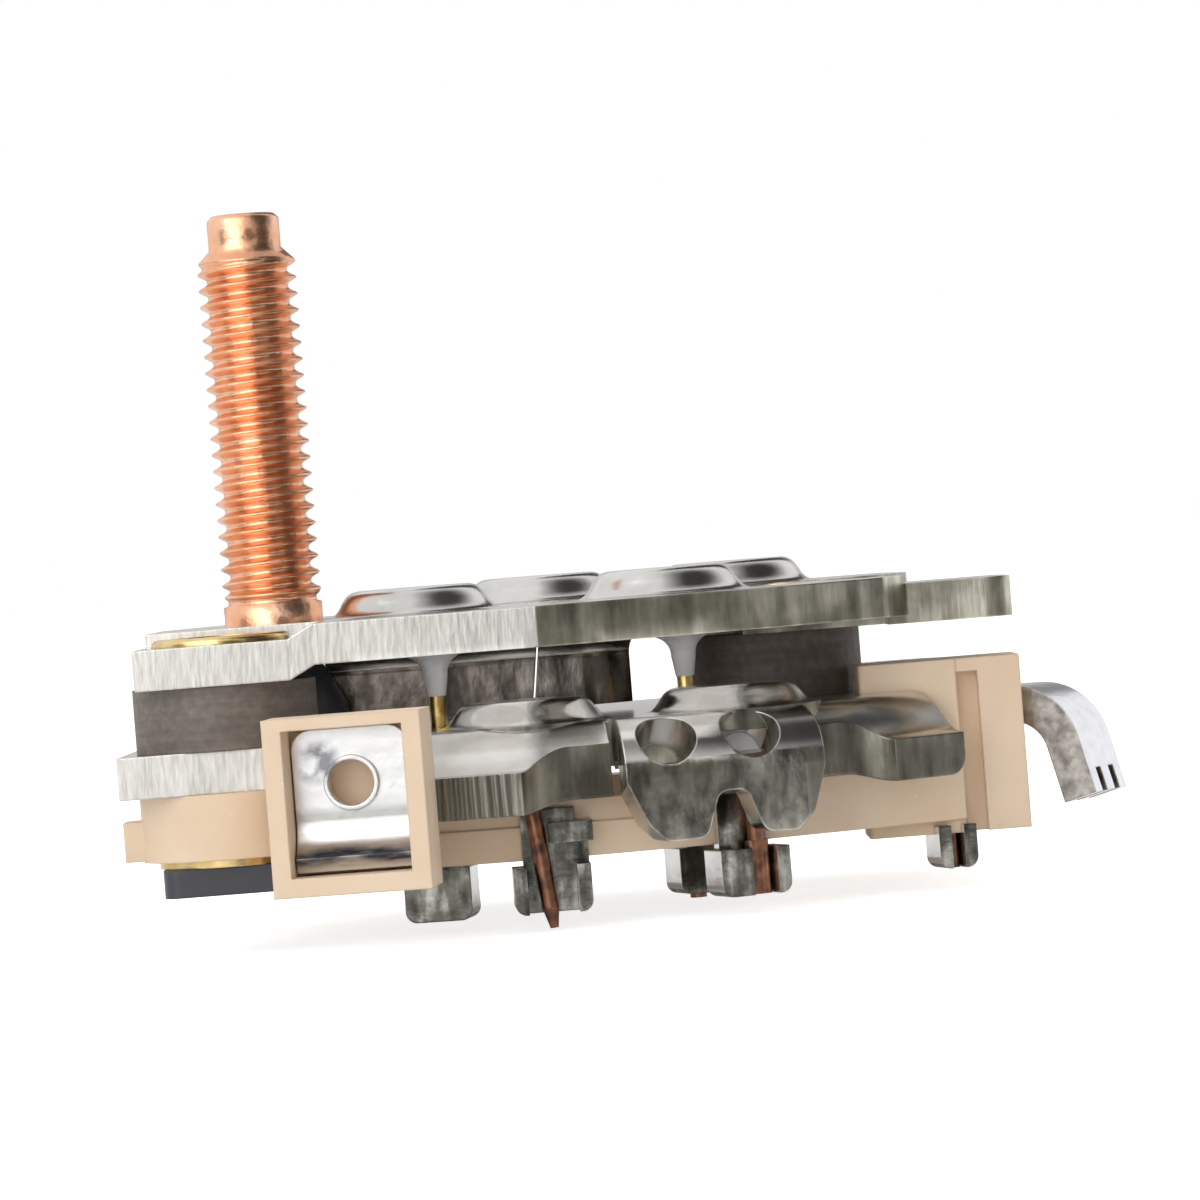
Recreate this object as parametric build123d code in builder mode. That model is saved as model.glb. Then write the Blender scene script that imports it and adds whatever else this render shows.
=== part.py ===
"""Rectifier of a car alternator: two stamped heat sink plates with diodes under pressed domes,
a moulded terminal block below them, and a copper output stud.

Millimetres. The origin is on the left mounting hole's axis, at the top face of the lower plate.
+Z points along the stud, and -Y is the rim where the terminals are.
"""
import os
from math import asin, cos, degrees, radians, sin

from build123d import *

os.makedirs("parts", exist_ok=True)

# Plates and the stack between them
upper_thickness = 2.4
lower_thickness = 2.5
plate_gap = 4.6
left_lug_drop = 0.8
right_lug_drop = 0.5
upper_bottom = plate_gap
upper_top = upper_bottom + upper_thickness
lower_bottom = -lower_thickness

# The plates are crescents: the rim is round this centre, and the inner edge round another
rim_front = -2.4
rim_flat_radius = 37.8
rim_run = 4.2
rim_radius = rim_flat_radius + rim_run
rim_centre = (16.75, rim_front + rim_flat_radius)
inner_centre = (20.75, 46.7)
inner_radius = 15.7
lower_setback = 0.5

# Domes and the diodes in them
upper_dome_base = 11.2
upper_dome_top = 6.4
upper_dome_rise = 1.6
upper_pocket_diameter = 8.2
upper_pocket_depth = 1.7
lower_dome_base = 10.8
lower_dome_top = 6.2
lower_dome_rise = 1.4
lower_pocket_diameter = 7.8
lower_pocket_depth = 1.6
chip_diameter = 5.6
chip_height = 0.9
head_diameter = 3.4
head_height = 0.5
lead_diameter = 1.0
upper_diodes = [(11.45, 5.4), (26.55, 7.4), (18.85, 24.4), (31.05, 26.2)]
lower_diodes = [(17.65, 1.8), (29.95, 2.5), (9.95, 24.6), (40.75, 24.7)]
upper_lead_shift = (0.9, 1.5)
lead_hole_diameter = 2.8
resin_drop = 1.5
resin_sleeve = 1.2
resin_neck = 0.75
resin_reach = 2.9

# Output stud, M6, and its insulating cap
stud_at = (2.75, 9.4)
stud_diameter = 6.0
stud_top = 32.0
dog_diameter = 4.4
dog_length = 2.1
dog_taper = 0.8
dog_edge = 0.3
shank_length = 1.2
groove_diameter = 5.3
groove_width = 0.35
pilot_diameter = 3.6
pilot_height = 1.2
cap_diameter = 8.2
cap_top_diameter = 5.3
cap_skirt = 1.9
cap_clearance = 0.05

# Eyelets, spacers and the bush under the left eyelet
left_eyelet_at = (0.0, 0.0)
right_eyelet_at = (33.1, 16.4)
eyelet_bore = 5.2
eyelet_diameter = 6.4
eyelet_flange = 8.2
eyelet_lower_flange = 9.2
eyelet_flange_height = 0.45
eyelet_fit = 0.1
spacer_diameter = 10.9
spigot_diameter = 7.6
spigot_fit = 0.05
boss_diameter = 11.0
boss_bottom = -6.4
bush_width = 8.4
bush_bottom = -8.5
bush_corner = 1.0

# Terminal block
bar_top = -4.6
bar_bottom = -8.0
bar_outer_radius = rim_flat_radius - 0.6
bar_inner_radius = bar_outer_radius - 4.7
bar_step = 0.2
bar_step_level = -6.0
bar_start = -17.0
bar_end = 42.0
frame_width = 4.6
left_web = [(-0.75, 9.4), left_eyelet_at, (8.25, 1.4)]
right_web = [(39.25, 13.4), right_eyelet_at, (33.95, 5.5)]
rear_frame = [
    (-0.75, 7.4),
    (-1.25, 18.4),
    (5.75, 28.4),
    (15.15, 30.9),
    (25.75, 31.0),
    (36.35, 32.4),
    (44.95, 28.4),
    (45.75, 18.4),
    (43.75, 13.4),
]
block_left = 37.85
block_right = 47.65
block_split = 43.75
block_front = 6.4
block_back = 13.4
block_bottom = -8.8
block_top = 1.7
block_step = 0.3
block_groove = (1.3, 1.3)
block_shelf = 0.9
block_corner = 0.25
block_blend = 24.0
block_fit = 0.2
side_rib = (-6.5, -6.3, -3.95)
box_centre = (7.45, rim_front - rim_run - 2.3)
box_turn = -5.0
box_width = 9.2
box_fit = 0.1
neck_width = 5.0
neck_length = 8.0
neck_height = 2.4
box_depth = 5.2
box_top = 1.7
box_bottom = -8.6
box_roof = 0.7
box_floor = 1.1
box_back = 1.2

# Screw terminal in the box
screw_plate_width = 6.8
screw_plate_thickness = 0.9
screw_plate_top = 0.9
screw_hole_diameter = 2.7
screw_hole_height = -2.3
screw_ring_diameter = 3.2
screw_ring_height = 0.35
screw_bend_radius = 2.2
screw_bend_angle = 70.0
screw_foot_top = -4.4
screw_corner = 1.2
screw_room = 0.8

# Curved terminal
ribbon_thickness = 2.2
ribbon_width = 4.4
ribbon_start = (47.65, 10.2)
ribbon_turn = -30.0
ribbon_height = -1.35
ribbon_buried = 2.0
ribbon_run = 0.6
ribbon_radius = 3.35
ribbon_angle = 75.0
ribbon_leg = 3.5
ribbon_slot_width = 0.7
ribbon_slot_depth = 1.5

# Crimp terminals
crimp_sheet = 0.8
crimp_bottom = -11.1
crimp_wing_top = -8.3
crimp_stem_top = -5.0
crimp_wing_depth = 1.9
crimp_stem_share = 0.7
crimp_seat = 0.4
crimp_corner = 0.7
lip_thickness = 0.6
flange_levels = (-7.0, -5.8)
flange_depth = 1.2
flange_width = 2.6
lip_reach = 2.0
front_crimps = (2.7, 20.6)
front_widths = (4.6, 4.4)
inner_crimps = (-9.0, 19.4)
inner_widths = (4.1, 3.1)
rear_width = 4.1
tap_radius = bar_outer_radius
tap_angle = 43.6
tap_facing = 15.0
tap_width = 2.4
tap_wire_diameter = 0.7
tap_drop = 2.1

# Leads: how far they lie before the crimp's back, the height of their first bend, their ends
lead_stand_off = 0.65
lead_pitch = 1.3
upper_lead_bend = -3.8
lower_lead_bend = -3.75
lead_bend_radius = 0.9
lead_end = -11.5
tip_length = 1.2
tip_taper = 12.0
leaning_ends = (1.2, 2.4, -10.8)
flat_end = (1.4, 0.9, -7.9)
flat_lead_angle = 21.5
rear_crimp_left = (15.15, 29.0)
rear_crimp_right = (36.35, 30.1)


def rim_point(radius, angle):
    """A point of the plan at this radius and angle round the rim's centre; 0 degrees is the front."""
    return (
        rim_centre[0] + radius * sin(radians(angle)),
        rim_centre[1] - radius * cos(radians(angle)),
    )


def rim_plane(angle, radius=0.0):
    """An upright plane through the rim's axis: its x runs outwards and its y upwards."""
    along = (sin(radians(angle)), -cos(radians(angle)), 0)
    return Plane(origin=(*rim_point(radius, angle), 0), x_dir=along, z_dir=(along[1], -along[0], 0))


def tangent_plane(angle, radius):
    """An upright plane that faces outwards at this place on the rim: y is upwards."""
    outwards = (sin(radians(angle)), -cos(radians(angle)), 0)
    return Plane(
        origin=(*rim_point(radius, angle), 0), x_dir=(-outwards[1], outwards[0], 0), z_dir=outwards
    )


def inner_point(x, setback=0.0):
    """The point of the plates' inner edge at this x."""
    radius = inner_radius - setback
    return (x, inner_centre[1] - (radius**2 - (x - inner_centre[0]) ** 2) ** 0.5)


# Upper heat sink
lug_left = -4.85
lug_front = -5.6
lug_back = 5.2
lug_ramp = (4.25, 5.75)
corner_left = (18.85, -5.7)
corner_middle = (33.75, -2.2)
corner_right = (39.55, 1.6)
upper_right = 41.05
right_lug_end = 47.45
right_lug_front = 5.0
right_lug_back = 15.0
flap_face = 13.8
flap_thickness = 1.6
flap_bend = 1.2
flap_bottom = 0.45
flap_left = 5.4
flap_split = 18.55
flap_gap = 0.1
flap_curve_start = 21.25
flap_curve_radius = 5.0
flap_curve_angle = 36.0
slot_back = 18.6
curve_centre = (flap_curve_start, flap_face + flap_curve_radius)
slot_front = flap_face - flap_bend
slot_radius = flap_curve_radius + flap_bend
slot_end = (
    curve_centre[0] + slot_radius * sin(radians(flap_curve_angle)),
    curve_centre[1] - slot_radius * cos(radians(flap_curve_angle)),
)
flap_root = 0.6
flap_lean = 0.7


def flap_section():
    """The section of a flap, from the slot's front edge down: x runs backwards and y up."""
    bend_at = (flap_face - flap_bend, upper_bottom - flap_bend)
    reach = flap_bend + flap_thickness
    with BuildSketch() as section:
        with BuildLine():
            CenterArc(bend_at, flap_bend, 0, 90)
            CenterArc(bend_at, reach, 0, 90)
            Polyline(
                (bend_at[0] + flap_bend, bend_at[1]),
                (bend_at[0] + flap_bend, flap_bottom),
                (bend_at[0] + reach, flap_bottom),
                (bend_at[0] + reach, bend_at[1]),
            )
            Polyline(
                (bend_at[0], bend_at[1] + flap_bend),
                (bend_at[0] - flap_root, bend_at[1] + flap_bend),
                (bend_at[0] - flap_root, bend_at[1] + reach),
                (bend_at[0], bend_at[1] + reach),
            )
        make_face()
    return section.sketch


def dome(at, level, base, top, rise, root):
    """A pressed dome: flat on top, with an S-shaped flank that runs out into the plate."""
    flank = (base - top) / 2
    with BuildPart() as shape:
        with BuildSketch(Plane(origin=(*at, level), x_dir=(1, 0, 0), z_dir=(0, -1, 0))):
            with BuildLine():
                Polyline((base / 2, 0), (base / 2, -root), (0, -root), (0, rise), (top / 2, rise))
                Bezier(
                    (top / 2, rise),
                    (top / 2 + flank * 0.6, rise),
                    (base / 2 - flank * 0.6, 0),
                    (base / 2, 0),
                )
            make_face()
        revolve(axis=Axis((*at, 0), (0, 0, 1)))
    return shape.part


def disc(at, bottom, top, diameter):
    """A plain upright disc between two levels."""
    with BuildPart(Plane(origin=(*at, bottom))) as shape:
        Cylinder(diameter / 2, top - bottom, align=(Align.CENTER, Align.CENTER, Align.MIN))
    return shape.part


with BuildPart() as flaps:
    with BuildSketch(Plane.YZ.offset(flap_left)):
        add(flap_section())
    extrude(amount=flap_curve_start - flap_left)
    turned = Plane(origin=(*curve_centre, 0), x_dir=(0, 1, 0), z_dir=(1, 0, 0))
    with BuildSketch(turned):
        with Locations((-curve_centre[1], 0)):
            add(flap_section())
    revolve(axis=Axis((*curve_centre, 0), (0, 0, 1)), revolution_arc=flap_curve_angle)
    # The slit between the two flaps leans, and so does the left end
    with BuildSketch(Plane.XZ.offset(-flap_face - flap_bend - flap_thickness)):
        with BuildLine():
            Polyline(
                (flap_split - flap_lean, flap_bottom - 1),
                (flap_split - flap_lean + flap_gap, flap_bottom - 1),
                (flap_split + flap_gap, upper_bottom),
                (flap_split, upper_bottom),
                close=True,
            )
        make_face()
        with BuildLine():
            Polyline(
                (flap_left, upper_bottom - flap_bend),
                (flap_left, flap_bottom - 1),
                (flap_left + flap_lean, flap_bottom - 1),
                close=True,
            )
        make_face()
    extrude(amount=flap_bend + 2 * flap_thickness, mode=Mode.SUBTRACT)

with BuildPart() as upper_heat_sink:
    with BuildSketch(Plane.XY.offset(upper_bottom)) as upper_outline:
        with BuildLine():
            Polyline(
                inner_point(9.75),
                (0.75, 31.9),
                (lug_left, 19.4),
                (lug_left, lug_back),
                (lug_ramp[1], lug_back),
                (lug_ramp[1], lug_front),
                corner_left,
                corner_middle,
                corner_right,
                (upper_right, right_lug_front),
                (upper_right, 18.9),
                (42.2, 24.4),
                (41.0, 33.4),
                inner_point(32.25),
            )
            RadiusArc(inner_point(32.25), inner_point(9.75), inner_radius)
        make_face()
        fillet(upper_outline.vertices().group_by(Axis.Y)[-1], 1.0)
    extrude(amount=upper_thickness)
    # The left lug is one pressed step lower, with a ramp at its right
    with BuildSketch(Plane.XZ.offset(-lug_back)) as lug_side:
        lug_bottom = upper_bottom - left_lug_drop
        Polygon(
            (lug_left, lug_bottom),
            (lug_ramp[0], lug_bottom),
            (lug_ramp[1], upper_bottom),
            (lug_ramp[1], upper_top),
            (lug_ramp[0], upper_top - left_lug_drop),
            (lug_left, upper_top - left_lug_drop),
            align=None,
        )
    extrude(amount=lug_back - lug_front)
    # The right lug and the seat of the right eyelet are pressed down together
    with BuildSketch(Plane.XY.offset(upper_top - right_lug_drop)) as right_seat:
        with Locations(right_eyelet_at):
            Circle(spacer_diameter / 2 - 0.8)
        with BuildLine():
            Polyline(
                (31.15, 8.4),
                (upper_right, 8.4),
                (upper_right, 20.0),
                (31.15, 20.0),
                close=True,
            )
        make_face()
    extrude(amount=right_lug_drop, mode=Mode.SUBTRACT)
    with BuildSketch(Plane.XY.offset(upper_bottom - right_lug_drop)):
        add(right_seat.sketch)
    extrude(amount=right_lug_drop)
    with BuildSketch(Plane.XY.offset(upper_bottom - right_lug_drop)) as right_lug:
        with BuildLine():
            Polyline(
                (upper_right - 1.2, right_lug_front),
                (right_lug_end, right_lug_front),
                (right_lug_end, right_lug_back),
                (upper_right - 1.2, right_lug_back),
                close=True,
            )
        make_face()
        fillet(right_lug.vertices().group_by(Axis.X)[-1], 1.6)
    extrude(amount=upper_thickness)
    # Slot behind the front diodes, from which the two flaps are bent down
    with BuildSketch(Plane.XY.offset(upper_bottom)):
        with BuildLine():
            Polyline(
                slot_end,
                (slot_end[0], slot_back),
                (flap_left, slot_back),
                (flap_left, slot_front),
                (flap_curve_start, slot_front),
            )
            RadiusArc((flap_curve_start, slot_front), slot_end, slot_radius)
        make_face()
    extrude(amount=upper_thickness, mode=Mode.SUBTRACT)

    add(flaps.part)
    for at in upper_diodes:
        add(dome(at, upper_top, upper_dome_base, upper_dome_top, upper_dome_rise, upper_thickness / 2))
    for at in upper_diodes:
        pocket_top = upper_bottom + upper_pocket_depth
        add(disc(at, upper_bottom - 1, pocket_top, upper_pocket_diameter), mode=Mode.SUBTRACT)
    with BuildSketch(Plane.XY.offset(upper_bottom - left_lug_drop)):
        with Locations(stud_at):
            Circle(stud_diameter / 2)
        with Locations(left_eyelet_at, right_eyelet_at):
            Circle(eyelet_diameter / 2 + eyelet_fit)
    extrude(amount=upper_thickness + left_lug_drop, mode=Mode.SUBTRACT)
upper_heat_sink.part.label = "upper_heat_sink"
export_step(upper_heat_sink.part, "parts/upper_heat_sink.step")

# Lower heat sink
lower_left = -6.3
lower_front = -4.9
rim_start = -9.0
rim_end = 40.0
rim_drop = 2.6
tab_angle = 17.0
tab_half_angle = 8.4
tab_radius = rim_radius + 1.0
tab_bend = 3.4
tab_bottom = -7.3
tab_half_width = 6.2
tab_hole_diameter = 3.6
tab_hole_spread = 3.9
tab_notch_top = -4.6
slit_width = 0.4
# The rim is notched on both sides of the tab: the angle and radius of each notch's outer corner
notch_depth = 1.9
left_notch = (4.9, 3.5)
right_notch = (29.2, 2.8)
lobe_corner = 1.2
lobe_edge = 0.35
lower_right = 46.35

with BuildPart() as middle_tab:
    with BuildSketch(rim_plane(tab_angle - tab_half_angle)):
        inner_bend = tab_bend - lower_thickness
        bend_start = tab_radius - tab_bend
        with BuildLine():
            Polyline(
                (bend_start, 0),
                (rim_flat_radius - 2, 0),
                (rim_flat_radius - 2, lower_bottom),
                (bend_start, lower_bottom),
            )
            CenterArc((bend_start, -tab_bend), inner_bend, 0, 90)
            CenterArc((bend_start, -tab_bend), tab_bend, 0, 90)
            Polyline(
                (tab_radius, -tab_bend),
                (tab_radius, tab_bottom),
                (tab_radius - lower_thickness, tab_bottom),
                (tab_radius - lower_thickness, -tab_bend),
            )
        make_face()
    revolve(axis=Axis((*rim_centre, 0), (0, 0, 1)), revolution_arc=2 * tab_half_angle)
    # Its outline seen from the front: two ears with a notch between them
    with BuildSketch(tangent_plane(tab_angle, tab_radius - 10)) as ears:
        with BuildLine():
            Polyline(
                (-tab_half_width, 1),
                (-tab_half_width, -3.4),
                (-tab_half_width + 1.3, -6.3),
                (-3.9, tab_bottom),
                (-1.5, tab_bottom + 0.05),
                (-0.6, tab_notch_top),
                (1.1, tab_notch_top),
                (2.1, tab_bottom + 0.1),
                (4.2, tab_bottom),
                (tab_half_width - 0.9, -6.2),
                (tab_half_width, -3.6),
                (tab_half_width, 1),
                close=True,
            )
        make_face()
        fillet(ears.vertices().sort_by(Axis.Y)[:10], 0.75)
    extrude(amount=20, mode=Mode.INTERSECT)
    # The holes are punched square to the bend
    for side in (-tab_hole_spread, tab_hole_spread):
        hole_angle = tab_angle - 1.0 + degrees(side / 2 / tab_radius) * 1.35
        at = rim_point(tab_radius - tab_bend, hole_angle)
        out = (sin(radians(hole_angle)), -cos(radians(hole_angle)), 0.9)
        with BuildSketch(Plane(origin=(*at, -tab_bend), z_dir=out)):
            Circle(tab_hole_diameter / 2)
        extrude(amount=tab_bend + 1, mode=Mode.SUBTRACT)

with BuildPart() as lower_heat_sink:
    rim_first = rim_point(rim_flat_radius, rim_start)
    rim_last = rim_point(rim_flat_radius, rim_end)
    with BuildSketch(Plane.XY.offset(lower_bottom)) as lower_outline:
        with BuildLine():
            Polyline(
                inner_point(8.95, lower_setback),
                (-0.25, 30.9),
                (lower_left + 0.4, 18.4),
                (lower_left, lower_front),
                (rim_first[0] - 3.0, lower_front),
                rim_first,
            )
            RadiusArc(rim_first, rim_last, -rim_flat_radius)
            Polyline(
                rim_last,
                (44.35, block_back),
                (lower_right, 20.4),
                (lower_right, 27.4),
                (42.75, 32.9),
                inner_point(32.55, lower_setback),
            )
            RadiusArc(
                inner_point(32.55, lower_setback),
                inner_point(8.95, lower_setback),
                inner_radius - lower_setback,
            )
        make_face()
    extrude(amount=lower_thickness)
    # The rim steps down; scallops part it into lobes
    with BuildSketch(rim_plane(rim_start)):
        with BuildLine():
            Polyline(
                (rim_flat_radius, 0),
                (rim_flat_radius - 1, 0),
                (rim_flat_radius - 1, lower_bottom),
                (rim_flat_radius, lower_bottom),
            )
            Bezier(
                (rim_flat_radius, lower_bottom),
                (rim_flat_radius + 1.6, lower_bottom),
                (rim_flat_radius + 1.4, lower_bottom - rim_drop),
                (rim_radius, lower_bottom - rim_drop),
            )
            Line((rim_radius, lower_bottom - rim_drop), (rim_radius, -rim_drop))
            Bezier(
                (rim_radius, -rim_drop),
                (rim_flat_radius + 2.4, -rim_drop),
                (rim_flat_radius + 2.2, 0),
                (rim_flat_radius, 0),
            )
        make_face()
    revolve(axis=Axis((*rim_centre, 0), (0, 0, 1)), revolution_arc=rim_end - rim_start)
    notch_radius = rim_radius - notch_depth
    for angle, reach in (left_notch, right_notch):
        add(disc(rim_point(notch_radius + reach, angle), -10, 1, 2 * reach), mode=Mode.SUBTRACT)
    with BuildSketch(rim_plane(left_notch[0])):
        with Locations((notch_radius, 0)):
            Rectangle(10, 20, align=(Align.MIN, Align.CENTER))
    revolve(
        axis=Axis((*rim_centre, 0), (0, 0, 1)),
        revolution_arc=right_notch[0] - left_notch[0],
        mode=Mode.SUBTRACT,
    )
    # The lobes' outer corners are rounded, seen from the front
    for angle, way in ((rim_start, 1), (rim_end, -1)):
        rounding = (way * lobe_corner, lower_bottom - rim_drop + lobe_corner)
        with BuildSketch(tangent_plane(angle, notch_radius - 1)):
            with BuildLine():
                Polyline(
                    (0, rounding[1]),
                    (-way, rounding[1]),
                    (-way, lower_bottom - rim_drop - 1),
                    (rounding[0], lower_bottom - rim_drop - 1),
                    (rounding[0], lower_bottom - rim_drop),
                )
                RadiusArc(
                    (rounding[0], lower_bottom - rim_drop), (0, rounding[1]), way * lobe_corner
                )
            make_face()
        extrude(amount=10, mode=Mode.SUBTRACT)
    with BuildSketch(rim_plane(tab_angle - tab_half_angle)):
        with Locations((rim_flat_radius + 1.0, 0)):
            Rectangle(10, 20, align=(Align.MIN, Align.CENTER))
    revolve(
        axis=Axis((*rim_centre, 0), (0, 0, 1)),
        revolution_arc=2 * tab_half_angle,
        mode=Mode.SUBTRACT,
    )
    add(middle_tab.part)
    with BuildSketch(tangent_plane(tab_angle - tab_half_angle, rim_flat_radius + 0.8)):
        Rectangle(slit_width, 20)
    extrude(amount=10, mode=Mode.SUBTRACT)
    # Room for the right block
    with BuildSketch(Plane.XY.offset(lower_bottom - 3)):
        with Locations((block_left - block_fit, block_front - block_fit)):
            Rectangle(20, block_back - block_front + 2 * block_fit, align=(Align.MIN, Align.MIN))
    extrude(amount=lower_thickness + 4, mode=Mode.SUBTRACT)
    for at in lower_diodes:
        add(dome(at, 0, lower_dome_base, lower_dome_top, lower_dome_rise, lower_thickness / 2))
    for at in lower_diodes:
        pocket_top = lower_bottom + lower_pocket_depth
        add(disc(at, lower_bottom - 3, pocket_top, lower_pocket_diameter), mode=Mode.SUBTRACT)
    with BuildSketch(Plane.XY.offset(lower_bottom)):
        with Locations(left_eyelet_at, right_eyelet_at):
            Circle(spigot_diameter / 2 + spigot_fit)
        for x, y in upper_diodes:
            with Locations((x + upper_lead_shift[0], y + upper_lead_shift[1])):
                Circle(lead_hole_diameter / 2)
    extrude(amount=lower_thickness, mode=Mode.SUBTRACT)
lower_heat_sink.part.label = "lower_heat_sink"
export_step(lower_heat_sink.part, "parts/lower_heat_sink.step")

# Output stud: a pilot under the upper plate, a plain shank, a groove, the thread and a dog point
with BuildPart() as b_plus_stud:
    with BuildSketch(Plane(origin=(*stud_at, 0), x_dir=(1, 0, 0), z_dir=(0, -1, 0))):
        thread_start = upper_top + shank_length + groove_width
        dog_start = stud_top - dog_length
        with BuildLine():
            Polyline(
                (0, upper_bottom - pilot_height),
                (pilot_diameter / 2, upper_bottom - pilot_height),
                (pilot_diameter / 2, upper_bottom),
                (stud_diameter / 2, upper_bottom),
                (stud_diameter / 2, upper_top + shank_length),
                (groove_diameter / 2, upper_top + shank_length),
                (groove_diameter / 2, thread_start),
                (stud_diameter / 2, thread_start + groove_width),
                (stud_diameter / 2, dog_start - dog_taper),
                (dog_diameter / 2, dog_start),
                (dog_diameter / 2, stud_top - dog_edge),
                (dog_diameter / 2 - dog_edge, stud_top),
                (0, stud_top),
                close=True,
            )
        make_face()
    revolve(axis=Axis((*stud_at, 0), (0, 0, 1)))
b_plus_stud.part.label = "b_plus_stud"
export_step(b_plus_stud.part, "parts/b_plus_stud.step")

# Insulating cap: a cone on a short skirt, pushed on the stud's pilot
with BuildPart() as stud_cap:
    with BuildSketch(Plane(origin=(*stud_at, 0), x_dir=(1, 0, 0), z_dir=(0, -1, 0))):
        with BuildLine():
            Polyline(
                (0, 0),
                (cap_diameter / 2, 0),
                (cap_diameter / 2, cap_skirt),
                (cap_top_diameter / 2, upper_bottom),
                (0, upper_bottom),
                close=True,
            )
        make_face()
    revolve(axis=Axis((*stud_at, 0), (0, 0, 1)))
    pocket_floor = upper_bottom - pilot_height - cap_clearance
    add(
        disc(stud_at, pocket_floor, upper_bottom, pilot_diameter + 2 * cap_clearance),
        mode=Mode.SUBTRACT,
    )
stud_cap.part.label = "stud_cap"
export_step(stud_cap.part, "parts/stud_cap.step")


def spacer(at, height):
    """An insulating ring with a spigot that lines the lower plate's hole."""
    with BuildPart() as ring:
        add(disc(at, 0, height, spacer_diameter))
        add(disc(at, lower_bottom, 0, spigot_diameter))
        add(
            disc(at, lower_bottom, height, eyelet_diameter + 2 * eyelet_fit),
            mode=Mode.SUBTRACT,
        )
    return ring.part


def eyelet(at, seat):
    """A brass tube, flanged below the terminal block and rolled over on the upper plate."""
    with BuildPart() as tube:
        add(disc(at, boss_bottom, seat, eyelet_diameter))
        add(disc(at, seat, seat + eyelet_flange_height, eyelet_flange))
        add(disc(at, boss_bottom - eyelet_flange_height, boss_bottom, eyelet_lower_flange))
        rolled = tube.edges().filter_by(GeomType.CIRCLE).group_by(Axis.Z)[-1]
        fillet(rolled, eyelet_flange_height * 0.8)
        add(disc(at, boss_bottom - 1, seat + 1, eyelet_bore), mode=Mode.SUBTRACT)
    return tube.part


stacks = {
    "left": (left_eyelet_at, left_lug_drop),
    "right": (right_eyelet_at, right_lug_drop),
}
for side, (at, drop) in stacks.items():
    ring = spacer(at, upper_bottom - drop)
    ring.label = f"{side}_spacer"
    export_step(ring, f"parts/{side}_spacer.step")
    tube = eyelet(at, upper_top - drop)
    tube.label = f"{side}_eyelet"
    export_step(tube, f"parts/{side}_eyelet.step")

with BuildPart() as left_bush:
    with BuildSketch(Plane.XY.offset(bush_bottom)) as bush_outline:
        with Locations(left_eyelet_at):
            RectangleRounded(bush_width, bush_width, bush_corner)
            Circle(eyelet_bore / 2, mode=Mode.SUBTRACT)
    extrude(amount=boss_bottom - eyelet_flange_height - bush_bottom)
left_bush.part.label = "left_bush"
export_step(left_bush.part, "parts/left_bush.step")


def crimp(at, facing, width, bottom=crimp_bottom, lip=0.0, flange=0.0):
    """A stamped channel squeezed round its lead; it faces this way round from the front.

    The lip is how far one wing is folded in front of the lead, and the flange is the width of a
    ledge at the top of the other side.
    """
    across = (-cos(radians(facing)), -sin(radians(facing)), 0)
    outwards = (sin(radians(facing)), -cos(radians(facing)), 0)
    half = width / 2
    front = crimp_sheet + crimp_wing_depth
    with BuildPart() as channel:
        with BuildSketch(Plane(origin=(*at, bottom), x_dir=across, z_dir=(0, 0, 1))):
            with Locations((0, crimp_sheet / 2)):
                Rectangle(width, crimp_sheet)
            with Locations((half - crimp_sheet / 2, 0), (crimp_sheet / 2 - half, 0)):
                Rectangle(crimp_sheet, front, align=(Align.CENTER, Align.MIN))
            if lip:
                with Locations((half, front)):
                    Rectangle(lip, lip_thickness, align=(Align.MAX, Align.MAX))
        extrude(amount=crimp_wing_top - bottom)
        # Its lower corners are rounded
        level = (-across[0], -across[1], 0)
        with BuildSketch(Plane(origin=(*at, bottom), x_dir=level, z_dir=outwards)) as face:
            Rectangle(width, crimp_wing_top - bottom, align=(Align.CENTER, Align.MIN))
            fillet(face.vertices().group_by(Axis.Y)[0], crimp_corner)
        extrude(amount=front, mode=Mode.INTERSECT)
        with BuildSketch(Plane(origin=(*at, crimp_wing_top), x_dir=across, z_dir=(0, 0, 1))):
            with Locations((0, crimp_sheet / 2)):
                Rectangle(width * crimp_stem_share, crimp_sheet)
        extrude(amount=crimp_stem_top - crimp_wing_top)
        if flange:
            with BuildSketch(Plane(origin=(*at, flange_levels[0]), x_dir=across, z_dir=(0, 0, 1))):
                with Locations((-half - 0.3, 0)):
                    Rectangle(flange, crimp_sheet + flange_depth, align=(Align.MIN, Align.MIN))
            extrude(amount=flange_levels[1] - flange_levels[0])
            with BuildSketch(Plane(origin=(*at, crimp_wing_top), x_dir=across, z_dir=(0, 0, 1))):
                with Locations((-half, 0)):
                    Rectangle(flange - 0.5, crimp_sheet, align=(Align.MIN, Align.MIN))
            extrude(amount=flange_levels[0] - crimp_wing_top)
    return channel.part


outer_back = bar_outer_radius - crimp_seat
inner_back = bar_inner_radius + crimp_seat
crimps = {
    "crimp_terminal_1": crimp(
        rim_point(inner_back, inner_crimps[0]),
        inner_crimps[0] + 180,
        inner_widths[0],
        crimp_bottom - 0.4,
    ),
    "crimp_terminal_2": crimp(
        rim_point(outer_back, front_crimps[0]),
        front_crimps[0],
        front_widths[0],
        flange=flange_width,
    ),
    "crimp_terminal_3": crimp(
        rim_point(inner_back, inner_crimps[1]), inner_crimps[1] + 180, inner_widths[1]
    ),
    "crimp_terminal_4": crimp(
        rim_point(outer_back, front_crimps[1]), front_crimps[1], front_widths[1], lip=lip_reach
    ),
    "crimp_terminal_5": crimp(
        rim_point(tap_radius, tap_angle), tap_facing, tap_width, block_bottom - tap_drop
    ),
    "crimp_terminal_6": crimp(rear_crimp_left, 0, rear_width),
    "crimp_terminal_7": crimp(rear_crimp_right, 0, rear_width),
}
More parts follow.
